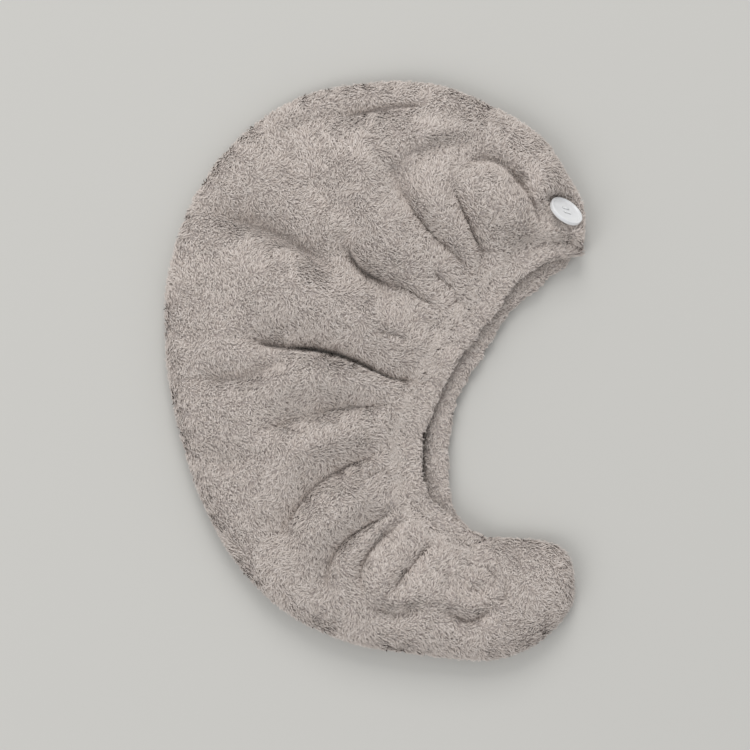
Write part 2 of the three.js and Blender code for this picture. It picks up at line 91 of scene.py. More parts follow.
# %% Sections across the towel
SECTIONS = np.array([
    # seam x, seam y, front x, front y, back x, back y, crown
    [0.502, 0.215, 0.471, 0.202, 0.471, 0.202, 0.25],
    [0.499, 0.280, 0.442, 0.198, 0.452, 0.182, 0.52],
    [0.468, 0.330, 0.404, 0.189, 0.418, 0.166, 0.66],
    [0.399, 0.404, 0.366, 0.175, 0.385, 0.144, 0.76],
    [0.282, 0.458, 0.330, 0.152, 0.354, 0.126, 0.85],
    [0.140, 0.496, 0.308, 0.130, 0.323, 0.105, 0.92],
    [-0.013, 0.499, 0.289, 0.107, 0.299, 0.083, 0.95],
    [-0.179, 0.473, 0.263, 0.085, 0.275, 0.053, 0.95],
    [-0.323, 0.404, 0.229, 0.053, 0.248, 0.020, 0.95],
    [-0.430, 0.301, 0.195, 0.019, 0.222, -0.009, 0.98],
    [-0.490, 0.173, 0.167, -0.016, 0.200, -0.037, 1.00],
    [-0.498, 0.041, 0.143, -0.056, 0.186, -0.073, 1.00],
    [-0.469, -0.092, 0.121, -0.091, 0.176, -0.113, 1.00],
    [-0.409, -0.226, 0.109, -0.129, 0.174, -0.150, 0.95],
    [-0.320, -0.339, 0.109, -0.167, 0.174, -0.186, 0.90],
    [-0.200, -0.420, 0.121, -0.209, 0.180, -0.222, 0.85],
    [-0.059, -0.467, 0.152, -0.235, 0.193, -0.247, 0.80],
    [0.080, -0.486, 0.193, -0.261, 0.215, -0.268, 0.75],
    [0.200, -0.495, 0.239, -0.281, 0.239, -0.281, 0.70],
    [0.284, -0.497, 0.301, -0.290, 0.301, -0.290, 0.68],
    [0.361, -0.481, 0.363, -0.292, 0.363, -0.292, 0.62],
    [0.423, -0.448, 0.418, -0.299, 0.418, -0.299, 0.48],
    [0.462, -0.413, 0.454, -0.313, 0.454, -0.313, 0.25],
    [0.476, -0.386, 0.474, -0.346, 0.474, -0.346, 0.00],
])
CORNER_ROW = 18
LAST_ROW = len(SECTIONS) - 1
print("sections from the button to the tail:", len(SECTIONS))

# %% [markdown]
# ## The folds
# Elastic in the casing gathers the cloth, so folds fan out from the opening into the crown. Each is a line
# through three points with a bell-shaped dip or ridge across it. A real crease is seldom even: the cloth
# rolls gently into it from one side and stands up steeply on the other. So each line has a width for its
# left side and one for its right, walking from its start to its end.

# %% Main folds of the gathered cloth
FOLDS = [
    # start x, start y, middle x, middle y, end x, end y, depth, left width, right width
    [0.323, 0.350, 0.366, 0.305, 0.394, 0.237, -0.500, 0.67, 0.78],
    [0.176, 0.346, 0.282, 0.362, 0.366, 0.301, -0.536, 0.89, 0.67],
    [0.171, 0.336, 0.212, 0.272, 0.279, 0.176, -0.500, 0.67, 0.78],
    [0.282, 0.384, 0.138, 0.376, 0.066, 0.305, -0.429, 0.89, 0.78],
    [0.028, 0.374, 0.090, 0.274, 0.263, 0.159, -0.536, 1.00, 0.67],
    [-0.083, 0.253, -0.040, 0.183, 0.090, 0.124, -0.786, 0.78, 1.56],
    [-0.476, 0.298, -0.255, 0.242, -0.054, 0.157, -1.000, 2.11, 0.89],
    [-0.255, 0.412, -0.174, 0.339, -0.078, 0.242, -0.643, 1.56, 1.56],
    [-0.375, 0.060, -0.179, 0.045, -0.001, 0.001, -0.857, 1.56, 0.56],
    [-0.059, 0.017, 0.049, -0.011, 0.138, -0.016, -0.357, 0.89, 0.56],
    [-0.462, -0.014, -0.311, -0.011, -0.183, 0.024, -0.571, 1.11, 0.89],
    [-0.303, -0.108, -0.135, -0.073, 0.052, -0.056, -0.786, 1.89, 0.67],
    [-0.462, -0.144, -0.351, -0.156, -0.212, -0.129, -0.357, 1.33, 1.00],
    [-0.265, -0.326, -0.145, -0.205, 0.032, -0.130, -0.857, 1.56, 0.67],
    [-0.126, -0.403, -0.088, -0.302, 0.056, -0.235, -0.643, 1.00, 0.61],
    [-0.025, -0.403, -0.025, -0.326, 0.080, -0.257, -0.536, 0.78, 0.56],
    [0.020, -0.396, 0.080, -0.342, 0.143, -0.293, -0.464, 0.67, 0.61],
    [-0.040, -0.392, 0.052, -0.417, 0.147, -0.399, -0.500, 0.67, 0.89],
    [0.123, -0.396, 0.219, -0.425, 0.301, -0.399, -0.571, 0.78, 0.89],
    [0.181, -0.337, 0.224, -0.375, 0.279, -0.368, -0.571, 0.89, 0.89],
    [-0.294, 0.398, -0.083, 0.443, 0.147, 0.457, -0.429, 0.67, 1.33],
    [0.133, 0.450, 0.200, 0.440, 0.282, 0.423, -0.286, 0.78, 0.67],
    [0.253, 0.358, 0.301, 0.298, 0.337, 0.220, 0.286, 1.11, 1.11],
    [0.109, 0.332, 0.169, 0.260, 0.239, 0.187, 0.286, 1.00, 1.00],
    [-0.059, 0.416, -0.006, 0.277, 0.133, 0.149, 0.571, 1.22, 1.22],
    [0.056, 0.381, 0.157, 0.414, 0.313, 0.424, 0.429, 0.67, 0.67],
    [-0.452, 0.232, -0.203, 0.142, 0.157, 0.055, 0.500, 1.44, 2.22],
    [-0.327, -0.035, -0.150, -0.007, 0.066, -0.037, 0.571, 1.22, 1.22],
    [-0.270, -0.184, -0.131, -0.118, 0.061, -0.098, 0.429, 1.22, 1.22],
    [-0.207, -0.347, -0.102, -0.243, 0.066, -0.191, 0.500, 1.11, 1.11],
]
print("folds:", len(FOLDS))

# %% [markdown]
# ## The fine creases
# At the bottom of a fold real cloth pinches into sharp lines, only two or three millimetres wide. The plain
# solids leave them out, so they are added here, as rows of the same kind as the folds.

# %% Fine creases in the folds
CREASES = [
    # start x, start y, middle x, middle y, end x, end y, depth, left width, right width
    [0.325, 0.343, 0.370, 0.294, 0.394, 0.235, -0.286, 0.24, 0.29],
    [0.186, 0.312, 0.224, 0.249, 0.277, 0.180, -0.321, 0.22, 0.29],
    [0.052, 0.315, 0.133, 0.235, 0.270, 0.154, -0.229, 0.22, 0.29],
    [0.133, 0.169, 0.159, 0.157, 0.193, 0.140, -0.286, 0.24, 0.24],
    [-0.068, 0.225, -0.037, 0.180, 0.032, 0.150, -0.571, 0.24, 0.38],
    [-0.006, 0.161, 0.073, 0.142, 0.157, 0.102, -0.357, 0.22, 0.24],
    [0.186, 0.128, 0.210, 0.114, 0.229, 0.102, -0.214, 0.22, 0.22],
    [-0.294, 0.050, -0.222, 0.040, -0.116, 0.037, -0.786, 0.27, 0.20],
    [-0.212, 0.040, -0.088, 0.029, 0.042, -0.014, -1.000, 0.27, 0.18],
    [0.001, -0.002, 0.052, -0.014, 0.109, -0.018, -0.357, 0.27, 0.22],
    [-0.011, 0.076, 0.042, 0.062, 0.092, 0.052, -0.250, 0.33, 0.24],
    [-0.183, -0.075, -0.071, -0.061, 0.066, -0.056, -0.214, 0.27, 0.22],
    [-0.284, -0.103, -0.198, -0.089, -0.071, -0.082, -0.214, 0.33, 0.29],
    [-0.236, -0.300, -0.135, -0.193, 0.032, -0.132, -0.357, 0.33, 0.22],
    [-0.071, -0.200, -0.023, -0.184, 0.032, -0.163, -0.250, 0.33, 0.24],
    [-0.116, -0.368, -0.073, -0.292, 0.061, -0.233, -0.357, 0.29, 0.20],
    [-0.035, -0.375, -0.016, -0.313, 0.085, -0.245, -0.321, 0.29, 0.24],
    [0.032, -0.385, 0.085, -0.337, 0.143, -0.292, -0.250, 0.24, 0.22],
    [-0.025, -0.396, 0.042, -0.411, 0.119, -0.403, -0.214, 0.33, 0.29],
    [0.167, -0.406, 0.224, -0.429, 0.282, -0.410, -0.321, 0.33, 0.29],
    [0.291, -0.404, 0.313, -0.378, 0.303, -0.344, -0.286, 0.33, 0.33],
    [0.181, -0.318, 0.171, -0.352, 0.179, -0.391, -0.250, 0.33, 0.39],
    [0.248, -0.330, 0.284, -0.351, 0.272, -0.385, -0.321, 0.38, 0.36],
    [0.308, -0.292, 0.339, -0.314, 0.351, -0.349, -0.286, 0.36, 0.36],
    [0.224, -0.287, 0.236, -0.306, 0.239, -0.326, -0.250, 0.31, 0.31],
    [-0.107, 0.435, 0.032, 0.454, 0.138, 0.459, -0.429, 0.38, 0.29],
    [-0.385, 0.274, -0.255, 0.235, -0.071, 0.161, -0.393, 1.00, 0.44],
    [0.193, 0.350, 0.289, 0.357, 0.363, 0.305, -0.321, 0.67, 0.39],
    [0.066, 0.308, 0.073, 0.367, 0.157, 0.393, -0.321, 0.56, 0.44],
    [-0.452, -0.011, -0.311, -0.007, -0.188, 0.024, -0.286, 0.67, 0.44],
    [0.030, 0.371, 0.052, 0.324, 0.095, 0.274, -0.321, 0.67, 0.44],
]
print("creases:", len(CREASES))

# %% [markdown]
# ## Lines and directions
# Every outline is a smooth line through the table's points. Catmull-Rom is the handy kind here, because it
# passes through its points and needs no handles.

# %% Smooth lines through a table's points
def smooth(a, b, x):
    """0 below a, 1 above b, and an S-curve between them: t * t * (3 - 2 * t)."""
    t = np.clip((np.asarray(x, float) - a) / (b - a), 0, 1)
    return t * t * (3 - 2 * t)


def mix(a, b, t):
    """The value that lies the share t of the way from a to b."""
    return a + (b - a) * t


def line_at(points, u):
    """Catmull-Rom line through points, which stand at u = 0, 1, 2 ...; its ends carry straight on."""
    u = np.asarray(u, float)
    padded_points = np.vstack([2 * points[0] - points[1], points, 2 * points[-1] - points[-2]])
    i = np.clip(np.floor(u).astype(int), 0, len(points) - 2)
    t = (u - i)[..., None]
    p, q, r, s = (padded_points[i + k] for k in range(4))
    return q + 0.5 * t * (r - p + t * (2 * p - 5 * q + 4 * r - s + t * (3 * (q - r) + s - p)))


def unit(vectors):
    """The same directions, each one long."""
    return vectors / np.maximum(np.linalg.norm(vectors, axis=-1, keepdims=True), 1e-9)


def direction(points, u):
    """The way the line runs at u, from two points just before and after it."""
    step = 0.02
    return unit(line_at(points, u + step) - line_at(points, u - step))


def left_of(d):
    """A plan direction turned a quarter to the left."""
    return np.stack([-d[..., 1], d[..., 0]], axis=-1)


# %% The three outlines in plan
plan = SECTIONS[:, :6] * np.tile([WIDTH, LENGTH], 3)
seam_points, front_points, back_points = plan[:, 0:2], plan[:, 2:4], plan[:, 4:6]


def round_the_tip(points, other):
    """Past the tip of the tail the line turns back along the other one."""
    return np.vstack([points, other[LAST_ROW], other[LAST_ROW - 1]])


seam_line = round_the_tip(seam_points, front_points)
front_line = round_the_tip(front_points, seam_points)
back_line = round_the_tip(back_points, seam_points)
crown_line = SECTIONS[:, 6:7]

# %% [markdown]
# ## The hem line and the casing's sizes
# The casing is a tube with elastic in it. It runs along the front hem, turns under at the corner, comes
# back along the back hem and turns up again under the button. The cloth ends just beside it.

# %% How wide and how high the casing runs
turn_radius = (BAND_THICKNESS + TURN_GAP) / 2
turn_reach = turn_radius + BAND_THICKNESS / 2
front_lift = BAND_THICKNESS / 2 + 2 * turn_radius
END_SHARE = 0.5


def hem_at(points, u):
    """A point of the front or the back hem; on the tail the two are one line."""
    return np.where((u < CORNER_ROW)[..., None], line_at(points, u), line_at(front_line, u))


def hem_way(points, u):
    """The hem's direction. At both ends of the opening the two hems share the front one's."""
    share = (smooth(0, 1, u) * smooth(0, 1, CORNER_ROW - u))[..., None]
    return unit(mix(direction(front_line, u), direction(points, u), share))


def band_width_at(u):
    """The casing's width, narrow at both ends of the opening."""
    return mix(BAND_END_WIDTH, BAND_WIDTH, smooth(0, 2.5, u) * smooth(0, 3, CORNER_ROW - u))


def band_height_at(u):
    """The height of the middle of the casing along the front hem."""
    opening = smooth(0, 2.5, u) * smooth(0, 4, CORNER_ROW - u)
    return front_lift + (MOUTH_GAP - TURN_GAP) * opening


def turn_width(past):
    """The casing's width on its end turn, with a little room beside it."""
    return mix(BAND_END_WIDTH, BAND_TIP_WIDTH, np.minimum(past / turn_reach, 1)) + 2 * GAP


# %% The cloth's edge beside the casing
def tail_share(u):
    """0 along the opening and 1 on the tail, where the hems are sewn together."""
    return smooth(CORNER_ROW - 0.2, CORNER_ROW + 1.2, u)


def hem_setback(points, u):
    """How far the cloth's edge lies outside the hem line: the casing's width, fading past the corner."""
    beside = band_width_at(u) + GAP * (2 - smooth(0, 1, u))
    corner = hem_at(points, np.full_like(u, CORNER_ROW))
    past = np.linalg.norm(hem_at(points, u) - corner, axis=-1)
    beyond = turn_width(past) * (1 - smooth(turn_reach + GAP, turn_reach + 5, past))
    return np.where(u <= CORNER_ROW, beside, beyond)


def hem_edge(points, u, inset):
    """The cloth's edge on the hem side. Its first half step goes round the casing's end at the button."""
    start = np.zeros_like(u)
    way = hem_way(points, start)
    past = ((turn_reach + GAP) * (1 - u / END_SHARE))[..., None]
    round_end = hem_at(points, start) - way * past - left_of(way) * turn_width(past)
    k = np.where(u < 1, (u - END_SHARE) / (1 - END_SHARE), u)
    k = np.where(u < END_SHARE, 0, k)
    offset = (hem_setback(points, k) + inset * tail_share(k))[..., None]
    along_hem = hem_at(points, k) - left_of(hem_way(points, k)) * offset
    return np.where((u < END_SHARE)[..., None], round_end, along_hem)


at_start = np.zeros(1)
seam_line[0] = (hem_edge(front_line, at_start, 0) - left_of(hem_way(front_line, at_start)) * WALL)[0]

# %% [markdown]
# ## The height of the cloth
# The crown is a sine dome from seam to hem. Its edges are rolled like a pillow's, the folds are added on
# top, and round the button the thread draws the cloth onto a sloping plane.

# %% Ends of a section and the blunt tip
def section_ends(points, u, inset):
    """Plan ends of a section: on the seam and beside the hem. An inset moves both inwards."""
    hem = hem_edge(points, u, inset)
    seam = line_at(seam_line, u)
    chord = np.linalg.norm(hem - seam, axis=-1, keepdims=True)
    turned = smooth(0, 1.5, u)[..., None]
    way = unit(mix((hem - seam) / chord, left_of(direction(seam_line, u)), turned))
    return seam + way * np.minimum(inset, 0.6 * chord), hem


def tip_middle(u):
    """The point halfway between the seam and the front hem line."""
    return (line_at(seam_line, u) + line_at(front_line, u)) / 2


tip = tip_middle(np.array([float(LAST_ROW)]))[0]
tip_slope = np.linalg.norm(tip_middle(np.array([LAST_ROW - 0.5]))[0] - tip) / 0.5


def pull_tip(u, inset):
    """Near the tip of the tail an inset also moves a section back along the towel."""
    return u - (inset / tip_slope) * smooth(LAST_ROW - 3, LAST_ROW, u)


def quarter(d, radius):
    """Quarter round: 0 at the edge, 1 at the radius and beyond: sqrt(1 - (1 - d / r) ** 2)."""
    return np.sqrt(1 - (1 - np.clip(d / radius, 0, 1)) ** 2)


# %% Distances and soft noise
def nearest_on_line(points, line):
    """For each point: distance to the line, how far along it (0 to 1), and on which side (+1 is left)."""
    best = np.full(points.shape[:-1], np.inf)
    share = np.zeros_like(best)
    side = np.ones_like(best)
    for i in range(len(line) - 1):
        a, ab = line[i], line[i + 1] - line[i]
        to = points - a
        t = np.clip(to @ ab / (ab @ ab), 0, 1)
        d = np.linalg.norm(to - t[..., None] * ab, axis=-1)
        nearer = d < best
        best = np.where(nearer, d, best)
        share = np.where(nearer, (i + t) / (len(line) - 1), share)
        side = np.where(nearer, np.sign(ab[0] * to[..., 1] - ab[1] * to[..., 0]), side)
    return best, share, side


def swirl(points, size, seed):
    """Smooth noise from -1 to 1 over X and Y: random values on a square lattice, blended by S-curves."""
    lattice = np.random.default_rng(seed).uniform(-1, 1, (64, 64))
    q = points[..., :2] / size + 31.5
    i = np.floor(q).astype(int)
    t = q - i
    t = t * t * (3 - 2 * t)
    i %= 63
    x, y = i[..., 0], i[..., 1]
    low = mix(lattice[x, y], lattice[x + 1, y], t[..., 0])
    high = mix(lattice[x, y + 1], lattice[x + 1, y + 1], t[..., 0])
    return mix(low, high, t[..., 1])


# %% Puckers along the hem
LONG_PUCKER, SHORT_PUCKER, FINE_PUCKER = 27, 15, 7
HEM_WAVE = 1.0
GATHER_REACH = 20
GATHER_DEPTH = 1.6
hem_steps = np.linspace(0, LAST_ROW, 400)
hem_moves = np.diff(line_at(front_line, hem_steps), axis=0)
hem_lengths = np.concatenate([[0], np.cumsum(np.linalg.norm(hem_moves, axis=1))])


def hem_turns(u):
    """The length walked along the hem in millimetres, times 2 pi, which a sine's own length divides."""
    return 2 * np.pi * np.interp(u, hem_steps, hem_lengths)


def puckers(u):
    """The wave that the elastic makes along the hem, from -0.8 to 0.8: two sines, LONG_PUCKER and
    SHORT_PUCKER long. A still longer sine hurries and slows each, so no two puckers are alike."""
    s = hem_turns(u)
    long_wave = 0.5 * np.sin(s / LONG_PUCKER + 1.1 * np.sin(s / 90))
    return long_wave + 0.3 * np.sin(s / SHORT_PUCKER + 1.5 * np.sin(s / 61) + 2)


def fine_puckers(u):
    """The smallest puckers, which only the casing shows: a third sine, FINE_PUCKER long."""
    s = hem_turns(u)
    return 0.2 * np.sin(s / FINE_PUCKER + 1.2 * np.sin(s / 35))


def hem_wave(u):
    """How far the puckers lift and sink the whole hem, the casing and the cloth's edge together."""
    return HEM_WAVE * puckers(u) * smooth(1, 4, u) * smooth(1, 4, CORNER_ROW - u)


def gathers(u, from_hem):
    """Puckers in the cloth beside the casing: exp(-(distance / GATHER_REACH) ** 2), none near the ends."""
    fade = np.exp(-((from_hem / GATHER_REACH) ** 2)) * smooth(0.6, 3, u) * smooth(0.3, 1.5, LAST_ROW - 3 - u)
    return GATHER_DEPTH * puckers(u) * fade


# %% Height of the folds
VALLEY_POWER, RIDGE_POWER = 1.4, 2
FOLD_STEPS = 13


def fold_height(points, rows):
    """The sum of some folds: depth * fade * exp(-(distance / width) ** power). A fold rises from nothing at
    its start and stays until near its end. A valley has a lower power than a ridge, so a sharper bottom."""
    total = np.zeros(points.shape[:-1])
    for row in rows:
        ends = np.array(row[:6]).reshape(3, 2) * [WIDTH, LENGTH]
        line = line_at(ends, np.linspace(0, 2, FOLD_STEPS))
        d, share, side = nearest_on_line(points, line)
        width = np.where(side > 0, row[7], row[8]) * FOLD_WIDTH
        fade = smooth(-0.05, 0.35, share) * smooth(-0.05, 0.3, 1 - share)
        power = VALLEY_POWER if row[6] < 0 else RIDGE_POWER
        total += row[6] * FOLD_DEPTH * fade * np.exp(-((d / width) ** power))
    return total


# %% The slope under the button
SEAT_RISE = 0.12 * BUTTON_DIAMETER
SEAT_FLAT, SEAT_REACH = 0.52 * BUTTON_DIAMETER, 0.9 * BUTTON_DIAMETER
LEAST_THICKNESS = 1.2
seat_plan = np.array(BUTTON_SEAT) * [WIDTH, LENGTH]
button_axis = np.array([
    np.sin(BUTTON_TILT) * np.cos(BUTTON_HEADING),
    np.sin(BUTTON_TILT) * np.sin(BUTTON_HEADING),
    np.cos(BUTTON_TILT),
])


def drawn_to_button(p, height, inset):
    """Height after the thread's pull: a plane at right angles to the button's axis, whole out to SEAT_FLAT
    and gone at SEAT_REACH. It rises no more than SEAT_RISE above the seat and stays clear of the back."""
    away = p - seat_plan
    slope = away @ button_axis[:2] / button_axis[2]
    down = np.maximum(slope, -SEAT_RISE)
    lowest = SEAM_HEIGHT + LEAST_THICKNESS * (WALL - inset)
    reach = np.linalg.norm(away, axis=-1)
    pull = 1 - smooth(SEAT_FLAT, SEAT_REACH, reach)
    return mix(height, np.maximum(BUTTON_SEAT_HEIGHT - down - inset / button_axis[2], lowest), pull)


# %% A point of the front or the back cloth
# The cloth's edge stands this far above the middle of the casing, a little higher than in the plain model,
# so that no groove shows between the two. Each layer of unevenness is a height, a size and a seed.
HEM_LAP = 0.58 * BAND_THICKNESS
UNEVENNESS = [(1.2, 38, 3), (0.4, 17, 4)]


def panel_point(side, u, v, inset):
    """u runs along the towel, v across it from seam to hem. side is +1 in front and -1 behind; inset is 0
    on the outer face and WALL on the inner one. In front, height = edge roll + lift to the hem + dome +
    folds, drawn to the button. Behind, it is the edge roll turned down to the table."""
    points = front_line if side > 0 else back_line
    pulled = pull_tip(u, inset)
    seam, hem = section_ends(points, pulled, inset)
    length = np.linalg.norm(hem - seam, axis=-1)[:, None]
    p = mix(seam[:, None, :], hem[:, None, :], v[..., None])
    tail = tail_share(u)[:, None]
    over = smooth(0, 1, v)
    rolled = np.minimum(EDGE_ROUND, 0.45 * length)
    inner_tip = tip_middle(pull_tip(np.array([float(LAST_ROW)]), inset))[0]
    tip_round = quarter(np.linalg.norm(tip_middle(pulled) - inner_tip, axis=-1), EDGE_ROUND)[:, None]
    from_seam = quarter(v * length, rolled) * tip_round
    from_hem = quarter((1 - v) * length, rolled) * tip_round
    rise = SEAM_HEIGHT - inset
    if side < 0:
        down = from_seam * (1 - over) + mix(1, from_hem, tail) * over
        return np.dstack([p, SEAM_HEIGHT - GAP / 2 - (rise - GAP / 2) * down])
    under_button = WALL * (1 - smooth(0, END_SHARE, u))
    hem_top = band_height_at(np.minimum(u, CORNER_ROW)) + HEM_LAP + hem_wave(u) - inset - under_button
    flat = rise * (from_seam * (1 - over) + tail * from_hem * over)
    lift = (hem_top[:, None] - SEAM_HEIGHT) * over * (1 - tail)
    crown = line_at(crown_line, np.minimum(u, LAST_ROW)) * DOME_HEIGHT
    dome = crown * np.clip(np.sin(np.pi * v), 0, 1) ** mix(SEAM_CURVE, HEM_CURVE, over * (1 - tail))
    clear = quarter(v * length, 2 * EDGE_ROUND) * smooth(0, EDGE_ROUND, (1 - v) * length)
    uneven = sum(height * swirl(p, size, seed) for height, size, seed in UNEVENNESS)
    relief = fold_height(p, FOLDS + CREASES) + uneven + gathers(u[:, None], (1 - v) * length)
    free = flat + lift + dome + relief * clear * tip_round
    drawn = drawn_to_button(p, SEAM_HEIGHT + free, inset) - SEAM_HEIGHT
    held = smooth(0, EDGE_ROUND / 2, v * length) * smooth(0, EDGE_ROUND, (1 - v) * length)
    return np.dstack([p, SEAM_HEIGHT + GAP / 2 + mix(free, drawn, held)])


# %% [markdown]
# ## Putting arrays into meshes
# Arrays go into a mesh in one call each with foreach_set, which is many times faster than adding vertices
# one by one. The faces are turned outwards by the sign of the volume that they enclose.

# %% A mesh from points and faces
def outward(points, triangles):
    """The triangles, all turned round if the volume they enclose is negative."""
    a, b, c = (points[triangles[:, k]] for k in range(3))
    volume = np.einsum("ij,ij->i", a, np.cross(b, c)).sum()
    return triangles if volume > 0 else triangles[:, ::-1]


def make_piece(name, points, faces, uv):
    """A smooth-shaded object at the origin, from points in millimetres, faces and one UV pair per point."""
    mesh = bpy.data.meshes.new(name)
    mesh.vertices.add(len(points))
    mesh.vertices.foreach_set("co", (np.asarray(points, float) * MM).ravel())
    mesh.loops.add(faces.size)
    mesh.loops.foreach_set("vertex_index", faces.ravel().astype(np.int32))
    mesh.polygons.add(len(faces))
    mesh.polygons.foreach_set("loop_start", (np.arange(len(faces)) * faces.shape[1]).astype(np.int32))
    mesh.polygons.foreach_set("use_smooth", np.ones(len(faces), bool))
    layer = mesh.uv_layers.new(name="OFBake")
    layer.data.foreach_set("uv", uv[faces.ravel()].ravel())
    mesh.update(calc_edges=True)
    mesh.validate()
    piece = bpy.data.objects.new(name, mesh)
    bpy.context.scene.collection.objects.link(piece)
    print(f"{name}: {len(points)} points, {len(faces) * (faces.shape[1] - 2)} triangles")
    return piece


def grid_faces(rows, columns, first=0):
    """Triangles of a grid of points that is rows by columns, counted from first."""
    i, j = np.meshgrid(np.arange(rows - 1), np.arange(columns - 1), indexing="ij")
    a = (first + i * columns + j).ravel()
    quads = np.stack([a, a + columns, a + columns + 1, a + 1], axis=1)
    return np.vstack([quads[:, [0, 1, 2]], quads[:, [0, 2, 3]]])


def strip_faces(one, two):
    """Triangles between two rows of point numbers of the same length."""
    a, b, c, d = one[:-1], two[:-1], two[1:], one[1:]
    return np.vstack([np.stack([a, b, c], 1), np.stack([a, c, d], 1)])


def capped(rings, start, end):
    """A closed body from rings of points, rows by places round, shut by one point at each end."""
    rows, around = rings.shape[:2]
    points = np.vstack([rings.reshape(-1, 3), start, end])
    wrapped = np.pad(np.arange(rows * around).reshape(rows, around), ((0, 0), (0, 1)), mode="wrap")
    sides = wrapped.ravel()[grid_faces(rows, around + 1)]
    first = np.column_stack([wrapped[0, :-1], wrapped[0, 1:], np.full(around, len(points) - 2)])
    last = np.column_stack([wrapped[-1, 1:], wrapped[-1, :-1], np.full(around, len(points) - 1)])
    return points, outward(points, np.vstack([sides, first, last]))


# %% [markdown]
# ## The two pieces of cloth
# Each is a closed wall: an outer face with close points for the folds, an inner face with fewer, and a
# strip round the edges. The points crowd together where the edges roll over.

# %% A wall of cloth
EDGE_COLUMNS = 8


def across_positions(u, side, inset, columns):
    """Positions across a section, close together on the rolled edges."""
    seam, hem = section_ends(front_line if side > 0 else back_line, pull_tip(u, inset), inset)
    length = np.linalg.norm(hem - seam, axis=-1)[:, None]
    rolled = np.minimum(EDGE_ROUND, 0.3 * length) / length
    near = (np.arange(EDGE_COLUMNS) / EDGE_COLUMNS) ** 2 * rolled
    inner = mix(rolled, 1 - rolled, np.linspace(0, 1, columns)[None, :])
    return np.hstack([near, inner, 1 - near[:, ::-1]])


def cloth_wall(name, side, stations, columns, inner_columns):
    """Outer and inner faces of a panel, joined round their edges."""
    v_out = across_positions(stations, side, 0, columns)
    v_in = across_positions(stations, side, WALL, inner_columns)
    outer = panel_point(side, stations, v_out, 0)
    inner = panel_point(side, stations, v_in, WALL)
    rows, wide, narrow = len(stations), v_out.shape[1], v_in.shape[1]
    points = np.vstack([outer.reshape(-1, 3), inner.reshape(-1, 3)])
    out_ids = np.arange(rows * wide).reshape(rows, wide)
    in_ids = rows * wide + np.arange(rows * narrow).reshape(rows, narrow)
    faces = [grid_faces(rows, wide), grid_faces(rows, narrow, rows * wide)[:, ::-1]]
    faces += [strip_faces(out_ids[:, 0], in_ids[:, 0])[:, ::-1], strip_faces(out_ids[:, -1], in_ids[:, -1])]
    ends = [(out_ids[0], in_ids[0], False), (out_ids[-1], in_ids[-1], True)]
    for outer_row, inner_row, turned in ends:
        matched = inner_row[np.round(np.linspace(0, narrow - 1, wide)).astype(int)]
        cap = strip_faces(outer_row, matched)
        cap = cap[(cap[:, 0] != cap[:, 1]) & (cap[:, 1] != cap[:, 2]) & (cap[:, 0] != cap[:, 2])]
        faces.append(cap[:, ::-1] if turned else cap)
    along = np.linspace(0, 1, rows)[:, None]
    uv_out = np.dstack([along + 0 * v_out, 0.70 * v_out])
    uv_in = np.dstack([along + 0 * v_in, 0.72 + 0.28 * v_in])
    uv = np.vstack([uv_out.reshape(-1, 2), uv_in.reshape(-1, 2)])
    piece = make_piece(name, points, outward(points, np.vstack(faces)), uv)
    return piece, outer


# %% The front and the back
# Rows stand close together where the front has folds, and round the button's end on the back.
front_stations = np.concatenate([np.linspace(0, 17, 460, endpoint=False), np.linspace(17, LAST_ROW, 120)])
front_cloth, front_outer = cloth_wall("front_cloth", 1, front_stations, columns=112, inner_columns=14)
back_stations = np.concatenate([np.linspace(0, 2, 24, endpoint=False), np.linspace(2, LAST_ROW, 150)])
back_cloth, back_outer = cloth_wall("back_cloth", -1, back_stations, columns=12, inner_columns=6)

# %% [markdown]
# ## The elastic casing
# A tube of the same fleece, carried along the hem as a profile along a path. The elastic inside puckers
# it, so its thickness swells and shrinks in a wave along the way. Its back run is lofted too, which lets
# it show through the opening.

# %% The casing's path and section
PUCKER_DEPTH = 1.2
PUCKER_SPREAD = 0.08
BACK_LOFT = 2.2
OUTER_ROUND = 2.2
INNER_ROUND = 5.0
JOIN_SHARE = 0.85


def casing_frames(steps, turn_steps):
    """Middle, sideways direction, upward direction, width and place along the towel (u) of the casing at each
    place.
    """
    u = np.linspace(0, CORNER_ROW, steps)
    angle = np.pi * np.arange(1, turn_steps) / turn_steps
    frames = []
    for points, where, height, up in [
        (front_line, u, band_height_at(u) + hem_wave(u), 1.0),
        (back_line, u[::-1], np.full(steps, BAND_THICKNESS / 2), -1.0),
    ]:
        side = -left_of(hem_way(points, where))
        width = band_width_at(where)
        middle = hem_at(points, where) + side * width[:, None] / 2
        upward = np.tile([0, 0, up], (steps, 1))
        frames.append((np.column_stack([middle, height]), side, upward, width, where))
        corner = CORNER_ROW if up > 0 else 0
        at = np.full(turn_steps - 1, float(corner))
        ahead = hem_way(front_line, at) * up
        side = -left_of(hem_way(front_line, at))
        width = mix(BAND_END_WIDTH, BAND_TIP_WIDTH, np.sin(angle))
        end = hem_at(front_line, at) + side * width[:, None] / 2
        middle = end + ahead * (turn_radius * np.sin(angle))[:, None]
        cos = np.cos(angle) * up
        height = BAND_THICKNESS / 2 + turn_radius * (1 + cos)
        upward = np.column_stack([ahead * np.sin(angle)[:, None], cos])
        frames.append((np.column_stack([middle, height]), side, upward, width, at))
    return [np.concatenate(parts) for parts in zip(*frames)]


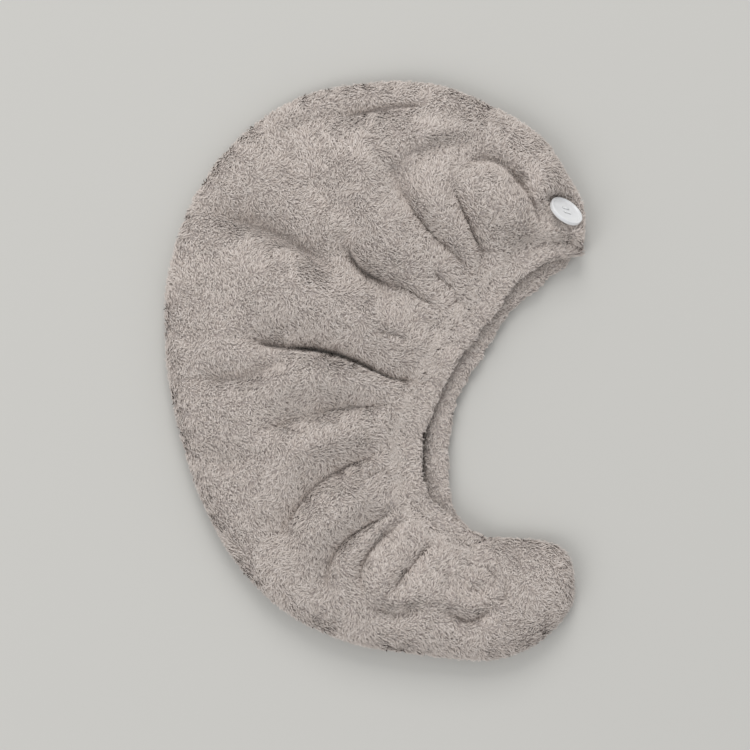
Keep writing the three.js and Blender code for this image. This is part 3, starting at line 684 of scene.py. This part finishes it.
def casing_surface(steps, turn_steps, sides):
    """A rounded section, |x| ** n + |y| ** n = 1, carried round the casing's loop. It is round (low n) on
    the outside and squarer (high n) on the side where the cloth meets it, so that no groove shows. The
    table flattens what would lie below it."""
    middle, side, up, width, u = casing_frames(steps, turn_steps)
    angle = 2 * np.pi * np.arange(sides) / sides
    power = 2 / np.where(np.cos(angle) > 0, OUTER_ROUND, INNER_ROUND)
    across = np.sign(np.cos(angle)) * np.abs(np.cos(angle)) ** power
    high = np.sign(np.sin(angle)) * np.abs(np.sin(angle)) ** power
    swell = (puckers(u) + fine_puckers(u)) * smooth(0, 1.5, u) * smooth(0, 1.5, CORNER_ROW - u)
    loft = BACK_LOFT * np.clip(-up[:, 2], 0, 1) * smooth(0, 3, u) * smooth(0, 3, CORNER_ROW - u)
    bulk = 1 + (PUCKER_DEPTH * swell + loft) / BAND_THICKNESS
    middle = middle + loft[:, None] * [0, 0, 0.5]
    width = width * (1 + PUCKER_SPREAD * swell)
    side3 = np.column_stack([side, np.zeros(len(side))])
    wide = across[None, :, None] * (width / 2)[:, None, None] * side3[:, None, :]
    thick = high[None, :, None] * (bulk * BAND_THICKNESS / 2)[:, None, None] * up[:, None, :]
    surface = middle[:, None, :] + wide + thick
    surface[..., 2] = np.maximum(surface[..., 2], 0)
    return surface


def casing_join(u):
    """A line along the top of the front casing, JOIN_SHARE of its width in from the opening, so close
    beside the cloth."""
    u = np.minimum(u, CORNER_ROW)
    side = -left_of(hem_way(front_line, u))
    middle = hem_at(front_line, u) + side * (JOIN_SHARE * band_width_at(u))[:, None]
    return np.column_stack([middle, band_height_at(u) + hem_wave(u) + BAND_THICKNESS / 2])


# %% The casing as one closed ring
casing_rings = casing_surface(steps=260, turn_steps=14, sides=24)
rings, sides = casing_rings.shape[:2]
closed = np.concatenate([casing_rings, casing_rings[:1]])
closed = np.concatenate([closed, closed[:, :1]], axis=1)
ids = np.arange(rings * sides).reshape(rings, sides)
wrapped = np.pad(ids, ((0, 1), (0, 1)), mode="wrap").ravel()
casing_faces = wrapped[grid_faces(rings + 1, sides + 1)]
casing_points = casing_rings.reshape(-1, 3)
ring_share, side_share = np.meshgrid(np.linspace(0, 1, rings), np.linspace(0, 1, sides), indexing="ij")
casing = make_piece("hem_casing", casing_points, outward(casing_points, casing_faces),
                    np.column_stack([ring_share.ravel(), side_share.ravel()]))

# %% [markdown]
# ## The button
# A sew-through button turned on a lathe from white plastic: a raised flat rim, a shallow dish and four
# holes. One half profile is spun round the axis, the holes are cut with a boolean, and the whole is then
# moved to its seat by a matrix that is applied to the mesh.

# %% A turned body
def place_on_seat(points):
    """Turns points from the button's own axis to its place over the cloth."""
    axis = Vector(button_axis)
    turn = np.array(Vector((0, 0, 1)).rotation_difference(axis).to_matrix())
    seat = np.array([*seat_plan, BUTTON_SEAT_HEIGHT + GAP / 2]) + button_axis * (GAP + SHANK_LENGTH)
    return points @ turn.T + seat


def arc(centre, radius, start, end, steps):
    """Points on a circle's arc, for the rounded edges of a profile."""
    a = np.radians(np.linspace(start, end, steps))
    return np.column_stack([centre[0] + radius * np.cos(a), centre[1] + radius * np.sin(a)])


def turned(profile, segments):
    """A closed body from a profile that starts and ends on the axis, spun round Z."""
    angle = 2 * np.pi * np.arange(segments) / segments
    ring = np.stack([np.cos(angle), np.sin(angle)], axis=1)
    body = profile[1:-1]
    circles = body[:, :1, None] * ring[None, :, :]
    heights = np.broadcast_to(body[:, 1:, None], (len(body), segments, 1))
    return capped(np.dstack([circles, heights]), [[0, 0, profile[0, 1]]], [[0, 0, profile[-1, 1]]])


radius = BUTTON_DIAMETER / 2
dish = BUTTON_THICKNESS - BUTTON_DISH_DEPTH
rim_inside = radius - BUTTON_RIM_WIDTH
button_profile = np.vstack([
    [[0, 0]],
    [[0.5 * radius, 0]],
    arc((radius - 0.7, 0.7), 0.7, -90, 0, 7),
    arc((radius - 0.4, BUTTON_THICKNESS - 0.4), 0.4, 0, 90, 6),
    arc((rim_inside + 0.3, BUTTON_THICKNESS - 0.3), 0.3, 90, 160, 5),
    arc((rim_inside - 0.9, dish + 0.5), 0.5, -20, -90, 6),
    [[3.8, dish - 0.05]],
    [[0, dish - 0.1]],
])
button_points, button_faces = turned(button_profile, 96)


# %% Four holes cut through it
def drill(piece, centres, diameter):
    """Cuts an upright round hole through the piece at each centre, all in millimetres."""
    for x, y in centres:
        rod_points, rod_faces = turned(np.array([[0, -5], [diameter / 2, -5], [diameter / 2, 9], [0, 9]]), 32)
        rod = make_piece("drill_rod", rod_points + [x, y, 0], rod_faces, np.zeros((len(rod_points), 2)))
        cut = piece.modifiers.new("hole", "BOOLEAN")
        cut.operation = "DIFFERENCE"
        cut.solver = "EXACT"
        cut.object = rod
        bpy.context.view_layer.update()
        result = bpy.data.meshes.new_from_object(piece.evaluated_get(bpy.context.evaluated_depsgraph_get()))
        piece.modifiers.clear()
        piece.data = result
        bpy.data.objects.remove(rod)


hole_centres = [(x * HOLE_SPACING / 2, y * HOLE_SPACING / 2) for x, y in [(-1, -1), (1, -1), (1, 1), (-1, 1)]]
button = make_piece("sewn_button", button_points, button_faces,
                    np.column_stack([button_points[:, 0], button_points[:, 1]]) / BUTTON_DIAMETER + 0.5)
drill(button, hole_centres, HOLE_DIAMETER)
flat_points = np.empty(len(button.data.vertices) * 3)
button.data.vertices.foreach_get("co", flat_points)
seated = place_on_seat(flat_points.reshape(-1, 3) / MM) * MM
button.data.vertices.foreach_set("co", seated.ravel())
button.data.set_sharp_from_angle(angle=np.radians(50))
button.data.update()
print("button faces after drilling:", len(button.data.polygons))

# %% [markdown]
# ## The thread
# White sewing thread goes three times over the face between each two holes and wraps a short shank under
# the button. Each strand is a round tube carried along a path.

# %% Strands of thread
THREAD_WIDTH = 0.6
STITCH_REACH = HOLE_SPACING / 2 + 0.35
STITCH_LIFT, STITCH_ARCH = 0.2, 0.12
STRANDS_APART = 0.5
COIL_TURNS, COIL_RADIUS, COIL_STEPS = 5, 1.25, 121


def tube(path, radius, sides=8):
    """A closed round tube along a path, with both ends shut."""
    ways = unit(np.gradient(path, axis=0))
    guide = np.where(np.abs(ways[:, 2:]) > 0.9, [[1.0, 0, 0]], [[0, 0, 1.0]])
    side = unit(np.cross(ways, guide))
    over = np.cross(side, ways)
    angle = 2 * np.pi * np.arange(sides) / sides
    ring = np.cos(angle)[None, :, None] * side[:, None, :] + np.sin(angle)[None, :, None] * over[:, None, :]
    return capped(path[:, None, :] + radius * ring, path[:1], path[-1:])


def joined(parts):
    """One list of points and faces from many."""
    counts = np.cumsum([0] + [len(p) for p, _ in parts[:-1]])
    return np.vstack([p for p, _ in parts]), np.vstack([f + n for (_, f), n in zip(parts, counts)])


def stitch(y, shift):
    """A strand from the cloth up one hole, over the face and down the other hole."""
    t = np.linspace(0, 1, 25)
    x = -np.cos(np.pi * t) * STITCH_REACH
    top = dish + STITCH_LIFT + STITCH_ARCH * np.sin(np.pi * t)
    over = np.column_stack([x, np.full(25, y + shift) - 0.1 * np.sign(y) * np.sin(np.pi * t), top])
    down = np.column_stack([np.full(9, x[-1]), np.full(9, y + shift), np.linspace(dish + 0.1, -0.9, 9)])
    up = down[::-1] * [-1, 1, 1]
    return tube(np.vstack([up, over, down]), THREAD_WIDTH / 2)


strands = [stitch(y, shift) for y in (-HOLE_SPACING / 2, HOLE_SPACING / 2)
           for shift in (-STRANDS_APART, 0.0, STRANDS_APART)]
wrap = np.linspace(0, COIL_TURNS * 2 * np.pi, COIL_STEPS)
coil_height = np.linspace(-SHANK_LENGTH + 0.1, -0.55, COIL_STEPS)
coil = np.column_stack([COIL_RADIUS * np.cos(wrap), COIL_RADIUS * np.sin(wrap), coil_height])
core = np.column_stack([np.zeros((6, 2)), np.linspace(-SHANK_LENGTH + 0.05, -0.45, 6)])
strands += [tube(coil, 0.26), tube(core, 1.2, 12)]
thread_points, thread_faces = joined(strands)
thread = make_piece("button_stitches", place_on_seat(thread_points), thread_faces,
                    np.column_stack([thread_points[:, 0] / 8 + 0.5, thread_points[:, 1] / 8 + 0.5]))

# %% [markdown]
# ## The pile
# Coral fleece is brushed up into soft wavy tufts, two to four millimetres long, that lie this way and that
# in swirls. Hair particles would be lost in the exported model, so each tuft is a small bent strip with a
# raised middle, and all of them are one array of points made at once.

# %% Where the tufts grow
def scatter(grid, per_square_mm, seed, keep=None):
    """Random places on a grid of points, evenly by area, with the surface's direction out at each."""
    rng = np.random.default_rng(seed)
    faces = grid_faces(*grid.shape[:2])
    flat = grid.reshape(-1, 3)
    a, b, c = (flat[faces[:, k]] for k in range(3))
    normals = np.cross(b - a, c - a)
    area = np.linalg.norm(normals, axis=1) / 2
    count = int(area.sum() * per_square_mm)
    chosen = rng.choice(len(faces), count, p=area / area.sum())
    r, s = rng.random(count), rng.random(count)
    r, s = np.where(r + s > 1, 1 - r, r), np.where(r + s > 1, 1 - s, s)
    places = a[chosen] + (b - a)[chosen] * r[:, None] + (c - a)[chosen] * s[:, None]
    out = unit(normals[chosen])
    if keep is not None:
        kept = keep(places, out)
        places, out = places[kept], out[kept]
    return places, out


# %% Tufts as bent strips
# The combing is the sum of three swirls: radians of turn, size in millimetres and seed of each.
COMBING = [(2.2, 26, 5), (1.5, 7, 6), (0.9, 3, 7)]
ROOT_DEPTH = 0.4
ABOVE_TABLE = 0.05
TUFT_POINTS = 7
SOFTNESS = 0.62
SKYWARD, RIM_SKYWARD = 0.8, 0.9


def tufts(name, places, out, seed, length=3.5, width=0.9, rise=0.45):
    """Each tuft leaves its root along a combed direction, bends over and ends in a point. Its shading normals
    lie SOFTNESS of the way towards the cloth's own, and those are turned up by SKYWARD, and by RIM_SKYWARD
    more on the steep rim, because light scatters in real pile and comes out of its fringe too."""
    rng = np.random.default_rng(seed)
    count = len(places)
    heading = sum(turn * swirl(places, size, layer) for turn, size, layer in COMBING)
    heading = heading + rng.normal(0, 0.45, count)
    flat_way = np.column_stack([np.cos(heading), np.sin(heading), np.zeros(count)])
    way = unit(flat_way - out * np.sum(flat_way * out, axis=1, keepdims=True))
    side = np.cross(out, way)
    long = length * rng.uniform(0.7, 1.25, count) * pile_left(places)
    wide = width * rng.uniform(0.7, 1.2, count)
    lift = rise * rng.uniform(0.6, 1.35, count)
    wave = rng.normal(0, 0.25, count)
    soft = unit(out + (SKYWARD + RIM_SKYWARD * (1 - out[:, 2:])) * [0, 0, 1])
    level = np.array([0.0, 0.5, 1.0])
    spread = np.array([1.0, 0.85, 0.0])
    points, normals = [], []
    for s, w in zip(level, spread):
        reach = long * (0.85 * s)
        height = long * lift * np.sin(0.5 * np.pi * s) - ROOT_DEPTH * (1 - s)
        centre = places + way * reach[:, None] + out * height[:, None]
        centre = centre + side * (long * wave * np.sin(2.2 * np.pi * s))[:, None]
        if w == 0:
            points.append(centre)
            normals.append(unit(soft + 0.3 * way))
            continue
        edge = side * (wide * w / 2)[:, None]
        ridge = out * (wide * w * 0.4)[:, None]
        points += [centre - edge, centre + ridge, centre + edge]
        normals += [unit(mix(-side, soft, SOFTNESS)), soft, unit(mix(side, soft, SOFTNESS))]
    cloud = np.stack(points, axis=1).reshape(-1, 3)
    cloud[:, 2] = np.maximum(cloud[:, 2], ABOVE_TABLE)
    pattern = np.array([[0, 1, 4], [0, 4, 3], [1, 2, 5], [1, 5, 4], [3, 4, 6], [4, 5, 6]])[:, ::-1]
    faces = (pattern[None, :, :] + TUFT_POINTS * np.arange(count)[:, None, None]).reshape(-1, 3)
    tone = np.repeat(0.02 + 0.96 * rng.random(count), TUFT_POINTS)
    # The second UV coordinate runs from root to tip; the pile material paints shade at the roots and light at
    # the tips from it.
    height_uv = np.tile([0.02, 0.02, 0.02, 0.5, 0.5, 0.5, 0.98], count)
    piece = make_piece(name, cloud, faces, np.column_stack([tone, height_uv]))
    piece.data.normals_split_custom_set_from_vertices(np.stack(normals, axis=1).reshape(-1, 3))
    return piece


def pile_left(places):
    """The share of the pile's length that stands: less in the sharp creases, where it is pressed flat."""
    return 1 - 0.5 * smooth(0.8, 4, -fold_height(places[:, :2], CREASES))


# %% Where pile is wanted
# Tufts stand DENSITY to the square millimetre, and closer over the join of cloth and casing, to hide it.
DENSITY = 1.12
JOIN_DENSITY = 1.6 * DENSITY
UNDERSIDE = -0.2
BARE_SEAT = 7.5
BACK_PILE_FLOOR = 0.6


def up_or_out(places, out):
    """Keeps what can be seen: nothing on the underside, where the towel lies on the table."""
    return out[:, 2] > UNDERSIDE


def off_the_seat(places, out):
    """Keeps the pile off the button's seat."""
    return up_or_out(places, out) & (np.linalg.norm(places[:, :2] - seat_plan, axis=1) > BARE_SEAT)


# %% Pile on the front, in four regions from the button to the tail
REGION_ROWS = [0, 223, 319, 460, len(front_outer) - 1]
front_spots = [
    scatter(front_outer[first:last + 1], DENSITY, 11 + k, up_or_out if k else off_the_seat)
    for k, (first, last) in enumerate(zip(REGION_ROWS[:-1], REGION_ROWS[1:]))
]
pile = [tufts(f"pile_front_{k + 1}", *spots, 21 + k) for k, spots in enumerate(front_spots)]

# %% Pile on the casing, over its join with the cloth and on the back
JOIN_ROWS = slice(2, 500)
casing_spots = scatter(closed, DENSITY, 15, up_or_out)
join_grid = np.stack([
    front_outer[JOIN_ROWS, -7],
    front_outer[JOIN_ROWS, -1] + [0, 0, GAP],
    casing_join(front_stations[JOIN_ROWS]),
], axis=1)
join_spots = scatter(join_grid, JOIN_DENSITY, 17, lambda places, out: out[:, 2] > 0.1)
casing_spots = tuple(np.concatenate(both) for both in zip(casing_spots, join_spots))
pile.append(tufts("pile_casing", *casing_spots, 31, length=3.0))
back_spots = scatter(back_outer, DENSITY, 16, lambda places, out: places[:, 2] > BACK_PILE_FLOOR)
pile.append(tufts("pile_back", *back_spots, 32, length=2.8))
print("tufts:", sum(len(piece.data.vertices) // TUFT_POINTS for piece in pile))

# %% [markdown]
# ## Materials
# Colours are written as hex, the way a picture shows them, and one function turns them into the linear
# values that the renderer works with. One small function adds a node with its settings and links.

# %% Colours and nodes
def colour(code):
    """A hex colour as linear values: c / 12.92, or ((c + 0.055) / 1.055) ** 2.4 above 0.04045."""
    c = np.array([int(code[i:i + 2], 16) for i in (1, 3, 5)]) / 255
    linear = np.where(c <= 0.04045, c / 12.92, ((c + 0.055) / 1.055) ** 2.4)
    return (*linear, 1.0)


def node(tree, kind, inputs=None, **settings):
    """Adds a node. Settings are its properties; inputs are its sockets, each a value or another output."""
    made = tree.nodes.new("ShaderNode" + kind)
    for name, value in settings.items():
        setattr(made, name, value)
    for name, value in (inputs or {}).items():
        if isinstance(value, bpy.types.NodeSocket):
            tree.links.new(value, made.inputs[name])
        else:
            made.inputs[name].default_value = value
    return made


def new_material(name):
    """An empty node material and its output node."""
    material = bpy.data.materials.new(name)
    material.use_nodes = True
    material.node_tree.nodes.clear()
    return material, material.node_tree, node(material.node_tree, "OutputMaterial")


def set_ramp(ramp, stops):
    """Puts colour stops into a ramp, as pairs of place and hex colour."""
    elements = ramp.color_ramp.elements
    while len(elements) < len(stops):
        elements.new(0.5)
    for element, (place, code) in zip(elements, stops):
        element.position = place
        element.color = colour(code)


def patterned(name, kind, pattern, stops, bump, surface, **settings):
    """A material whose colour and bump follow one pattern on Object coordinates, so it stays on the piece."""
    material, tree, output = new_material(name)
    place = node(tree, "TexCoord").outputs["Object"]
    texture = node(tree, kind, {"Vector": place, **pattern}, **settings)
    ramp = node(tree, "ValToRGB", {"Fac": texture.outputs["Fac"]})
    set_ramp(ramp, stops)
    raised = node(tree, "Bump", {"Height": texture.outputs["Fac"], **bump})
    shader = node(tree, "BsdfPrincipled", {
        "Base Color": ramp.outputs["Color"], "Normal": raised.outputs["Normal"], **surface,
    })
    tree.links.new(shader.outputs["BSDF"], output.inputs["Surface"])
    return material


# %% Fleece between the tufts, with painted shade
def fleece_ground():
    """Knitted polyester under the pile, matt, with painted shade: coloured a little darker than the tips for
    the shade that falls between the tufts. Its specks are about 1.6 mm wide (1000 / 620), close to the
    spacing of the tufts."""
    return patterned(
        "coral_fleece_ground_painted_shade", "TexNoise", {"Scale": 620.0, "Detail": 3.0, "Roughness": 0.6},
        # The ramp's dark end is painted shade between the tufts.
        [(0.34, "#9c918b"), (0.66, "#cdc3bd")], {"Strength": 0.9, "Distance": 0.0012},
        {"Roughness": 1.0, "IOR": 1.5, "Specular IOR Level": 0.1},
    )


# %% Fleece tufts, with painted shade at the roots and painted light at the tips
def fleece_pile():
    """Brushed polyester tufts with painted shade and light: dark where they leave the cloth, for the shade
    among the tufts, and pale and soft at the tips, for the light that reaches them.
    """
    material, tree, output = new_material("coral_fleece_pile_painted_shade")
    strand = node(tree, "SeparateXYZ", {"Vector": node(tree, "UVMap", uv_map="OFBake").outputs["UV"]})
    # Painted shade and light along each tuft, by its second UV coordinate: dark root, pale tip.
    along = node(tree, "ValToRGB", {"Fac": strand.outputs["Y"]})
    set_ramp(along, [(0.0, "#b7aca6"), (0.5, "#ddd3cc"), (1.0, "#f2eae3")])
    tone = node(tree, "ValToRGB", {"Fac": strand.outputs["X"]})
    set_ramp(tone, [(0.0, "#dcd8d5"), (0.5, "#f4f2f0"), (1.0, "#ffffff")])
    shade = node(tree, "Mix", {"Factor": 1.0}, data_type="RGBA", blend_type="MULTIPLY")
    tree.links.new(along.outputs["Color"], shade.inputs["A"])
    tree.links.new(tone.outputs["Color"], shade.inputs["B"])
    shader = node(tree, "BsdfPrincipled", {
        "Base Color": shade.outputs["Result"], "Roughness": 0.95, "IOR": 1.5, "Specular IOR Level": 0.15,
    })
    tree.links.new(shader.outputs["BSDF"], output.inputs["Surface"])
    return material


# %% White plastic and thread
def button_plastic():
    """Moulded polyester resin, white and satin: a soft highlight, slightly uneven from the mould, in faint
    patches about 6 mm wide (1000 / 160)."""
    return patterned(
        "white_polyester_button", "TexNoise", {"Scale": 160.0, "Detail": 2.0},
        [(0.3, "#e2e2e3"), (0.7, "#ececec")], {"Strength": 0.1, "Distance": 0.0002},
        {"Roughness": 0.32, "IOR": 1.52},
    )


def spun_thread():
    """White polyester sewing thread: matt, with the slanted lines of its twist, 0.7 mm apart along the
    thread (2 * pi / 10 / 900 metres), which is coarser than real thread's, so that they show."""
    return patterned(
        "white_sewing_thread", "TexWave", {"Scale": 900.0, "Distortion": 1.0},
        [(0.1, "#e0e0e0"), (0.8, "#f2f2f1")], {"Strength": 0.4, "Distance": 0.0001},
        {"Roughness": 0.8, "IOR": 1.5}, bands_direction="DIAGONAL",
    )


ground, tuft_material = fleece_ground(), fleece_pile()
finishes = [(front_cloth, ground, "fleece"), (back_cloth, ground, "fleece"), (casing, ground, "casing"),
            (button, button_plastic(), "button"), (thread, spun_thread(), "thread")]
finishes += [(piece, tuft_material, "casing" if piece.name == "pile_casing" else "fleece") for piece in pile]
for piece, material, slot in finishes:
    piece.data.materials.clear()
    piece.data.materials.append(material)
    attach(piece, "root")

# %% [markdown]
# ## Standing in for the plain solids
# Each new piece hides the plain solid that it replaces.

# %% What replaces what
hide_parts("front_panel")
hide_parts("back_panel")
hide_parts("opening_hem")
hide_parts("button")
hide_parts("button_thread")

# %% [markdown]
# ## The table and the studio
# A plain pale table, one wide soft light beyond the towel's top edge, a weaker one at the lower left and a
# pale room. The camera looks straight down through a long lens, which keeps the outline almost free of
# perspective.

# %% The table
TABLE_HALF = 4
table_corners = [(x * TABLE_HALF, y * TABLE_HALF, 0) for x, y in [(-1, -1), (1, -1), (1, 1), (-1, 1)]]
floor_mesh = bpy.data.meshes.new("table_top")
floor_mesh.from_pydata(table_corners, [], [(0, 1, 2, 3)])
floor = bpy.data.objects.new("table_top", floor_mesh)
bpy.context.scene.collection.objects.link(floor)
table_paint, table_tree, table_output = new_material("pale_matt_table")
table_shader = node(table_tree, "BsdfPrincipled", {
    "Base Color": colour("#c8c6c1"), "Roughness": 0.9, "IOR": 1.45,
})
table_tree.links.new(table_shader.outputs["BSDF"], table_output.inputs["Surface"])
floor_mesh.materials.append(table_paint)


# %% The lights
def soft_light(name, place, size, watts):
    """A square area light that faces the middle of the towel."""
    light = bpy.data.lights.new(name, "AREA")
    light.shape = "SQUARE"
    light.size = size
    light.energy = watts
    lamp = bpy.data.objects.new(name, light)
    lamp.location = place
    lamp.rotation_mode = "QUATERNION"
    lamp.rotation_quaternion = (-Vector(place)).to_track_quat("-Z", "Y")
    bpy.context.scene.collection.objects.link(lamp)
    return lamp


soft_light("window_light", place=(0, 2.7, 2.25), size=1.6, watts=49)
soft_light("room_light", place=(-1.4, -1.2, 2.0), size=1.5, watts=17)
ROOM_STRENGTH = 0.68
world = bpy.data.worlds.new("pale_room")
world.use_nodes = True
world.node_tree.nodes["Background"].inputs["Color"].default_value = colour("#f4f6f8")
world.node_tree.nodes["Background"].inputs["Strength"].default_value = ROOM_STRENGTH
bpy.context.scene.world = world
bpy.context.scene.view_settings.view_transform = "Standard"

# %% The camera
# The frame is 750 pixels of 0.645 mm wide where the cloth is MIDDLE_HEIGHT up. Distance = width * lens /
# sensor.
FRAME_WIDTH = 483.75 * MM
LENS, SENSOR = 100.0, 36.0
MIDDLE_HEIGHT = 10 * MM
FRAME_MIDDLE = (0.3 * MM, -2.1 * MM)
camera_data = bpy.data.cameras.new("camera")
camera_data.lens = LENS
camera_data.sensor_width = SENSOR
camera = bpy.data.objects.new("camera", camera_data)
camera.location = (*FRAME_MIDDLE, MIDDLE_HEIGHT + FRAME_WIDTH * LENS / SENSOR)
bpy.context.scene.collection.objects.link(camera)
bpy.context.scene.camera = camera
print("camera height, metres:", round(camera.location.z, 3))

# %% Updating the scene
bpy.context.view_layer.update()
